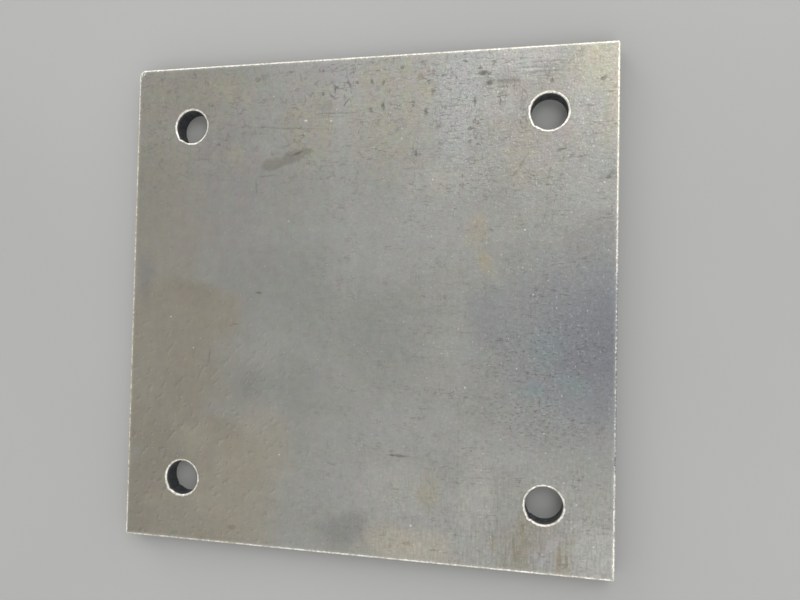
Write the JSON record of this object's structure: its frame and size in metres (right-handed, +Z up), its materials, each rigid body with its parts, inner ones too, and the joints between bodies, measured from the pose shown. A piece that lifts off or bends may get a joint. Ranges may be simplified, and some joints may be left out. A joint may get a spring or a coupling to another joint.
{
  "type": "steel plate",
  "caption": "Square hot-rolled steel plate, plasma cut, with a round bolt hole near each corner and melted top edges.",
  "frame": {"origin": "centre of the underside", "axes": "X and Y run along the sides, +Z points up out of the top face, and the start corner of the cut is at -X +Y"},
  "size_m": [0.25, 0.25, 0.01],
  "materials": {
    "hot_rolled_steel": "satin grey mill scale with brown, bluish and rust-tinted patches, dark grey cut walls and bright melted edges"
  },
  "bodies": {
    "root": {"steel_plate": "hot_rolled_steel"}
  },
  "joints": []
}
